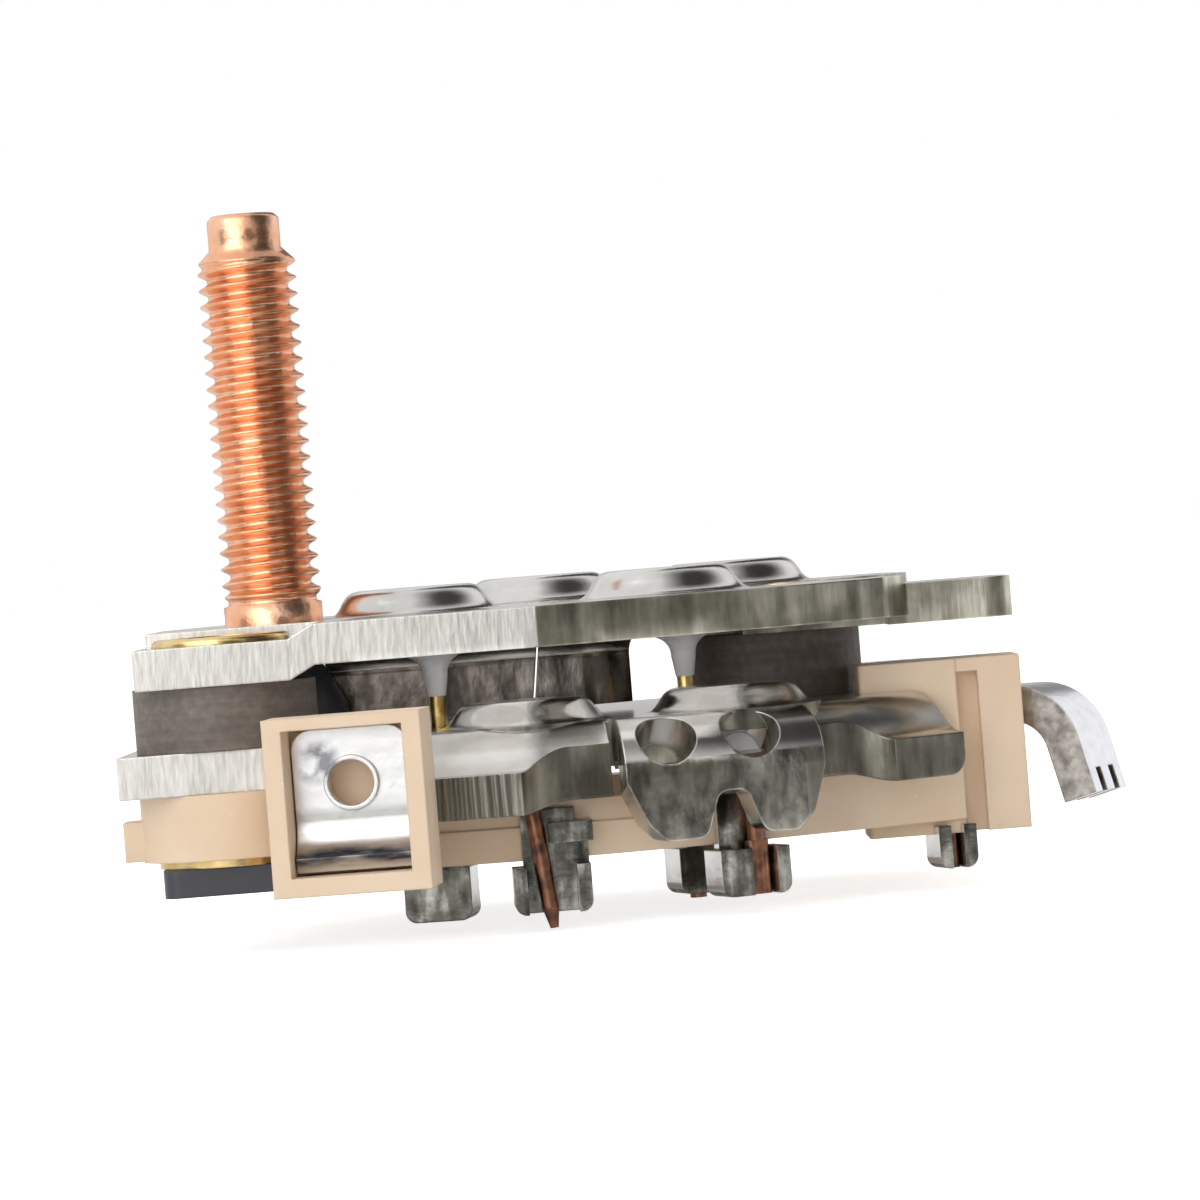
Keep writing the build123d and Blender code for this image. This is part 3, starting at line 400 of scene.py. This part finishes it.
def stud_radius(turn, level):
    """The plain outline by straight runs between (height, radius) pairs; over the thread, a helix
    of flat crests and rounded roots is cut into it, and fades in and out over part of a pitch."""
    outline = np.array([
        (3.4, 1.8), (4.6, 1.8), (4.61, 3.0), (8.2, 3.0), (8.3, 2.7), (8.6, 2.7), (8.8, 3.0),
        (29.1, 3.0), (29.9, 2.2), (31.7, 2.2), (32.0, 1.9),
    ])
    crest_share = 0.07
    flank_share = 0.80
    root_roundness = 1.3
    plain = np.interp(level, outline[:, 0], outline[:, 1])
    phase = np.mod(level / thread_pitch - turn / (2.0 * np.pi), 1.0)
    from_root = np.abs(phase - 0.5) * 2.0
    cut = np.clip((1.0 - crest_share - from_root) / flank_share, 0.0, 1.0)
    cut = np.sin(cut * np.pi / 2.0) ** root_roundness
    start = np.clip((level - thread_low) / thread_run_in, 0.0, 1.0)
    stop = np.clip((thread_high - level) / thread_run_out, 0.0, 1.0)
    return plain - (thread_radius - thread_root) * cut * start * stop


rings_per_turn = 14.0
stud_heights = np.concatenate([
    [3.4, 4.6, 4.61, 7.0, 8.2, 8.3, 8.6],
    np.arange(thread_low, thread_high + 0.1, thread_pitch / rings_per_turn),
    [29.5, 29.9, 30.5, 31.7, 31.85, 32.0],
])
stud = turned_piece("threaded_stud", stud_at, stud_heights, stud_radius, columns=72)
copper, tree, shader = new_material(
    "bright copper", (0.86, 0.44, 0.27), metallic=1.0, roughness=0.28
)
copper_colour = ramp(
    tree,
    object_noise(tree, 420.0),
    [(0.3, (0.82, 0.39, 0.22)), (0.55, (0.92, 0.50, 0.31)), (0.75, (0.97, 0.64, 0.46))],
)
feed(tree, shader.inputs["Base Color"], copper_colour)
bump(tree, shader, object_noise(tree, 2600.0), depth=0.03 * MM)
stud.data.materials.append(copper)
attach(stud, "root")
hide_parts("b_plus_stud")


# Stud cap and bush: black moulded insulators. The cap stands between the stud and the lower plate,
# and the bush spaces the left eyelet from the housing.
black, tree, shader = new_material(
    "black moulding", (0.050, 0.052, 0.064), metallic=0.0, roughness=0.34
)
bump(tree, shader, object_noise(tree, 1200.0), depth=0.02 * MM, edges=0.2 * MM)
paint(black, "stud_cap", "left_bush")


# Spacers: rings turned from brown laminate. They hold the two plates apart and are clamped between
# them by the eyelets.
brown, tree, shader = new_material(
    "brown laminate", (0.17, 0.135, 0.11), metallic=0.0, roughness=0.55
)
flecks = object_noise(tree, 1900.0)
layers = object_noise(tree, (120.0, 120.0, 2200.0))
fibre = product(tree, flecks, layers)
brown_colour = ramp(
    tree,
    fibre,
    [(0.12, (0.125, 0.10, 0.085)), (0.30, (0.17, 0.14, 0.12)), (0.48, (0.22, 0.19, 0.165))],
)
feed(tree, shader.inputs["Base Color"], brown_colour)
bump(tree, shader, fibre, depth=0.03 * MM, edges=0.15 * MM)
paint(brown, "left_spacer", "right_spacer")


# Eyelets: drawn brass tubes, flanged below the terminal block and rolled over on the upper plate,
# which clamp the plates, the spacers and the block together.
brass, tree, shader = new_material("bright brass", (0.80, 0.60, 0.27), metallic=1.0, roughness=0.24)
tarnish_and_groove_shade = object_noise(tree, 600.0)
brass_colour = ramp(tree, tarnish_and_groove_shade, [(0.3, (0.60, 0.42, 0.17)), (0.6, (0.82, 0.62, 0.29))])
feed(tree, shader.inputs["Base Color"], brass_colour)
bump(tree, shader, tarnish_and_groove_shade, depth=0.03 * MM, edges=0.1 * MM)
paint(brass, "left_eyelet", "right_eyelet")


# Terminal block: one beige glass-filled moulding, with a soft satin skin and chalky specks. It
# lies under the lower plate, and the terminals are moulded into it.
beige, tree, shader = new_material(
    "beige moulding", (0.84, 0.66, 0.48), metallic=0.0, roughness=0.5
)
speck = object_noise(tree, 1500.0, detail=4.0)
chalk = scaled(tree, math_node(tree, "GREATER_THAN", speck, 0.72), 0.4)
flow = ramp(tree, object_noise(tree, 160.0), [(0.3, (0.80, 0.61, 0.43)), (0.7, (0.87, 0.70, 0.52))])
feed(tree, shader.inputs["Base Color"], blend(tree, chalk, flow, (0.93, 0.86, 0.76)))
shader.inputs["Subsurface Weight"].default_value = 0.15
shader.inputs["Subsurface Radius"].default_value = (1.2 * MM, 0.8 * MM, 0.5 * MM)
bump(tree, shader, speck, depth=0.02 * MM, edges=0.18 * MM)
paint(beige, "terminal_block")


# Screw terminal: a stamped and bent strip of tinned metal, moulded into the box of the block. It
# stays bright, with painted shade beside its hole, where it is dimpled, and painted reflections low
# down: a grey band and a dark band where it curls under.
def spot(tree, centre, radius):
    """One at a point in mm, fading to zero at this radius."""
    coordinates = tree.nodes.new("ShaderNodeTexCoord")
    gap = tree.nodes.new("ShaderNodeVectorMath")
    gap.operation = "DISTANCE"
    gap.inputs[1].default_value = Vector(centre) * MM
    tree.links.new(coordinates.outputs["Object"], gap.inputs[0])
    return scaled(tree, gap.outputs["Value"], -1.0 / (radius * MM), 1.0, clamp=True)


plate, tree, shader = new_material(
    "bright screw plate", (0.80, 0.80, 0.80), metallic=1.0, roughness=0.3
)
mottle_noise = object_noise(tree, 900.0, detail=6.0)
band_noise = object_noise(tree, (350.0, 350.0, 1500.0))
# The painted shade beside the hole breaks up where the mottle is faint, and the dark band where the
# band noise is.
# Painted shade of the dimple round the hole, broken up by noise.
near_hole = scaled(tree, spot(tree, (5.5, -9.0, -1.0), radius=1.7), 3.2)
painted_dimple_shade = product(tree, near_hole, scaled(tree, mottle_noise, 3.5, -1.2), clamp=True)
# A grey band and a dark band low down are painted reflections on the curl.
painted_grey_reflection = product(tree, above(tree, "Z", -4.7, 0.5), below(tree, "Z", -3.8, 0.5))
painted_dark_reflection = product(
    tree,
    above(tree, "Z", -7.0, 0.4),
    below(tree, "Z", -5.9, 0.7),
    scaled(tree, band_noise, 3.0, -0.8),
    clamp=True,
)
plate_colour = blend(tree, painted_grey_reflection, (0.80, 0.80, 0.80), (0.52, 0.52, 0.50))
plate_colour = blend(tree, painted_dark_reflection, plate_colour, (0.07, 0.08, 0.11))
plate_colour = blend(tree, scaled(tree, painted_dimple_shade, 0.8), plate_colour, (0.13, 0.13, 0.15))
feed(tree, shader.inputs["Base Color"], plate_colour)
bump(tree, shader, mottle_noise, depth=0.02 * MM, edges=0.12 * MM)
paint(plate, "screw_terminal")


# Curved terminal: a tinned blade that is moulded into the right end of the block and bent down.
# Its broad face stays bright, and its sheared sides are grey and grainy.
blade, tree, shader = new_material("bright blade", (0.84, 0.84, 0.88), metallic=1.0, roughness=0.3)
square_on = 0.8
blade_cut = math_node(tree, "GREATER_THAN", facing(tree, "Y"), square_on)
blade_grain = object_noise(tree, 1300.0, detail=5.0)
blade_side = ramp(
    tree,
    blade_grain,
    [(0.34, (0.26, 0.24, 0.215)), (0.5, (0.42, 0.39, 0.355)), (0.66, (0.60, 0.565, 0.52))],
)
blade_face = ramp(tree, blade_grain, [(0.3, (0.80, 0.80, 0.85)), (0.6, (0.90, 0.90, 0.94))])
feed(tree, shader.inputs["Base Color"], blend(tree, blade_cut, blade_face, blade_side))
bump(tree, shader, blade_grain, depth=0.03 * MM, edges=0.12 * MM)
paint(blade, "curved_terminal")


# Crimps: stamped from thin strip, tinned and moulded into the bar of the block. Their wings are
# squeezed round the diode leads, which leaves their faces dull and scuffed; the faces' dark colour
# is also painted shade, and their sides stay bright.
crimp, tree, shader = new_material("scuffed and shaded tin", (0.60, 0.59, 0.56), metallic=1.0, roughness=0.25)
crimp_side = math_node(tree, "GREATER_THAN", facing(tree, "X"), square_on)
ripple = object_noise(tree, 520.0, detail=4.0)
scuff = object_noise(tree, (1500.0, 1500.0, 380.0), detail=4.0)
# Face colour: scuffed, and darkened further as painted shade.
crimp_face = ramp(
    tree,
    scaled(tree, math_node(tree, "ADD", ripple, scuff), 0.5),
    [(0.36, (0.07, 0.07, 0.06)), (0.5, (0.19, 0.187, 0.165)), (0.66, (0.66, 0.65, 0.60))],
)
feed(tree, shader.inputs["Base Color"], blend(tree, crimp_side, crimp_face, (0.86, 0.85, 0.83)))
feed(tree, shader.inputs["Roughness"], scaled(tree, ripple, 0.25, 0.10))
bump(tree, shader, ripple, depth=0.06 * MM, edges=0.12 * MM)
paint(crimp, *[f"crimp_terminal_{number}" for number in range(1, 8)])


# Rear crimps and their leads: the same tinned crimps and copper leads, squeezed together in the
# same way. They are trimmed short, so that they end behind the bar.
trim_from = -8.5
trim_to = -8.9


def trimmed(name, finish):
    """A merged copy of a CAD node. What hangs below trim_from is drawn up evenly, so that its
    lowest point comes to trim_to."""
    mesh = nodes[name].data.copy()
    shell = bmesh.new()
    shell.from_mesh(mesh)
    bmesh.ops.remove_doubles(shell, verts=shell.verts, dist=0.001 * MM)
    shell.to_mesh(mesh)
    shell.free()
    flat = np.empty(len(mesh.vertices) * 3)
    mesh.vertices.foreach_get("co", flat)
    point = flat.reshape(-1, 3)
    hanging = np.clip(trim_from * MM - point[:, 2], 0.0, None)
    share = (trim_from - trim_to) * MM / hanging.max()
    point[:, 2] = np.where(hanging > 0.0, trim_from * MM - hanging * share, point[:, 2])
    mesh.vertices.foreach_set("co", point.ravel())
    mesh.update()
    mesh.materials.clear()
    mesh.materials.append(finish)
    piece = bpy.data.objects.new(f"{name}_trimmed", mesh)
    bpy.context.scene.collection.objects.link(piece)
    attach(piece, "root")
    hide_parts(name)


for number in (6, 7):
    trimmed(f"crimp_terminal_{number}", crimp)
for diode in ("upper_diode_3", "upper_diode_4", "lower_diode_3", "lower_diode_4"):
    trimmed(f"{diode}_lead", lead)


# Studio: a pale floor just under the part and a white surround, with large soft lamps. Boards and
# small cards, which only reflections see, give the tinned faces their darks and lights.
def soft_lamp(name, place, size, power, mirrored=True):
    """A square lamp at this place in mm that faces the part; mirrored shows it in reflections."""
    data = bpy.data.lights.new(name, "AREA")
    data.size = size * MM
    data.energy = power
    lamp = bpy.data.objects.new(name, data)
    way = Vector(middle) - Vector(place)
    turn = way.to_track_quat("-Z", "Y").to_matrix().to_4x4()
    lamp.matrix_world = Matrix.Translation(Vector(place) * MM) @ turn
    lamp.visible_glossy = mirrored
    bpy.context.scene.collection.objects.link(lamp)


middle = (22.0, 9.0, 4.0)
soft_lamp("key lamp", (-170.0, -240.0, 200.0), size=340.0, power=0.48)
soft_lamp("low lamp", (-90.0, -320.0, 35.0), size=240.0, power=0.17)
soft_lamp("fill lamp", (270.0, -60.0, 290.0), size=300.0, power=0.20, mirrored=False)
soft_lamp("top lamp", (-20.0, 90.0, 330.0), size=340.0, power=0.40, mirrored=False)


def show(tree, surface):
    """Puts a shader on the material's output."""
    tree.links.new(surface, tree.nodes["Material Output"].inputs["Surface"])


def card(name, place, aim, size, shade, fade=None):
    """A flat board of this width, height and shade at this place in mm, which faces the aim and
    which only reflections see. With fade, its shade runs out to white at that distance in mm."""
    half = np.array([(-1, -1), (1, -1), (1, 1), (-1, 1)]) * np.array(size) / 2.0
    way = (Vector(aim) - Vector(place)).to_track_quat("-Z", "Y").to_matrix()
    corners = [(Vector(place) + way @ Vector((x, y, 0.0))) * MM for x, y in half]
    mesh = bpy.data.meshes.new(name)
    mesh.from_pydata([tuple(corner) for corner in corners], [], [(0, 1, 2, 3)])
    board = bpy.data.objects.new(name, mesh)
    bpy.context.scene.collection.objects.link(board)
    board.visible_camera = False
    board.visible_diffuse = False
    board.visible_shadow = False
    material, tree, _ = new_material(name, (0.0, 0.0, 0.0), metallic=0.0, roughness=1.0)
    glow = tree.nodes.new("ShaderNodeEmission")
    if fade is not None:
        centre = scaled(tree, spot(tree, place, fade), 1.6, clamp=True)
        shade = blend(tree, centre, (1.0, 1.0, 1.0), shade)
    feed(tree, glow.inputs["Color"], shade)
    show(tree, glow.outputs[0])
    mesh.materials.append(material)


for name, place, size, tone in (
    ("dark board front", (165.0, -395.0, 30.0), (330.0, 420.0), (0.12, 0.115, 0.10)),
    ("pale board behind", (22.0, 1700.0, 300.0), (1800.0, 640.0), (0.66, 0.655, 0.65)),
    ("dark board behind", (115.0, 330.0, 300.0), (140.0, 420.0), (0.05, 0.05, 0.05)),
    ("dark board right", (345.0, -120.0, 80.0), (330.0, 260.0), (0.05, 0.045, 0.04)),
    ("grey board left", (-330.0, -120.0, 20.0), (160.0, 300.0), (0.30, 0.30, 0.29)),
):
    card(name, place, middle, size, tone)
card(
    "dark board above",
    (230.0, -50.0, 248.0),
    middle,
    (640.0, 640.0),
    (0.05, 0.05, 0.05),
    fade=310.0,
)
card(
    "dark board low",
    (125.0, -225.0, -12.1),
    (125.0, -225.0, 90.0),
    (290.0, 350.0),
    (0.10, 0.098, 0.085),
)

# Small cards in the gap between the plates give each lower dome its bright left side, which runs
# out in steps to the right.
card_level = 4.6
card_middle = 0.5
card_depth = 15.0
for number, (left, right, gain) in enumerate([
    (8.0, 18.0, 1.15), (18.0, 18.6, 0.80), (18.6, 19.2, 0.40),
    (23.0, 30.0, 1.15), (30.0, 30.7, 0.80), (30.7, 31.4, 0.40),
]):
    across = (left + right) / 2.0
    card(
        f"small card {number}",
        (across, card_middle, card_level),
        (across, card_middle, 0.0),
        (right - left, card_depth),
        shade((1.0, 0.99, 0.98), gain),
    )

floor_gap = 0.2 * MM
floor_reach = 2.5
floor_glow = 0.75
floor_glow_mirrored = 0.13
floor_level = cad_low.z - floor_gap
floor_corners = [
    (x * floor_reach, y * floor_reach, floor_level) for x, y in ((-1, -1), (1, -1), (1, 1), (-1, 1))
]
floor_mesh = bpy.data.meshes.new("floor")
floor_mesh.from_pydata(floor_corners, [], [(0, 1, 2, 3)])
floor = bpy.data.objects.new("floor", floor_mesh)
bpy.context.scene.collection.objects.link(floor)
floor_material, tree, shader = new_material(
    "white floor", (0.86, 0.86, 0.86), metallic=0.0, roughness=0.9
)
rays = tree.nodes.new("ShaderNodeLightPath").outputs
mirrored = math_node(tree, "MAXIMUM", rays["Is Glossy Ray"], rays["Is Transmission Ray"])
mirrored = scaled(tree, mirrored, floor_glow_mirrored)
seen = math_node(tree, "MAXIMUM", rays["Is Camera Ray"], mirrored)
glow = tree.nodes.new("ShaderNodeEmission")
feed(tree, glow.inputs["Strength"], scaled(tree, seen, floor_glow))
both = tree.nodes.new("ShaderNodeAddShader")
feed(tree, both.inputs[0], shader.outputs[0])
feed(tree, both.inputs[1], glow.outputs[0])
show(tree, both.outputs[0])
floor_mesh.materials.append(floor_material)

surround_light = 0.50
surround_shown = 1.00
world = bpy.data.worlds.new("white surround")
bpy.context.scene.world = world
world.use_nodes = True
tree = world.node_tree
background = tree.nodes["Background"]
background.inputs["Color"].default_value = (1.0, 1.0, 1.0, 1.0)
rays = tree.nodes.new("ShaderNodeLightPath").outputs
direct = math_node(tree, "MAXIMUM", rays["Is Camera Ray"], rays["Is Glossy Ray"])
direct = math_node(tree, "MAXIMUM", direct, rays["Is Transmission Ray"])
level = scaled(tree, direct, surround_shown - surround_light, surround_light)
feed(tree, background.inputs["Strength"], level)


# Camera: level with the plates, a third of a metre in front of them and turned a little, as in
# the photograph.
camera_data = bpy.data.cameras.new("camera")
camera_data.sensor_width = 36.0
camera_data.lens = 172.2
camera_data.clip_start = 0.01
camera_data.clip_end = 10.0
camera = bpy.data.objects.new("camera", camera_data)
bpy.context.scene.collection.objects.link(camera)
eye = Vector((22.65, -340.6, 10.6)) * MM
target = Vector((22.65, 9.4, 6.9)) * MM
look = (target - eye).to_track_quat("-Z", "Y").to_matrix().to_4x4()
roll = Matrix.Rotation(np.radians(-4.5), 4, "Z")
camera.matrix_world = Matrix.Translation(eye) @ look @ roll
bpy.context.scene.camera = camera
bpy.context.scene.view_settings.view_transform = "Standard"
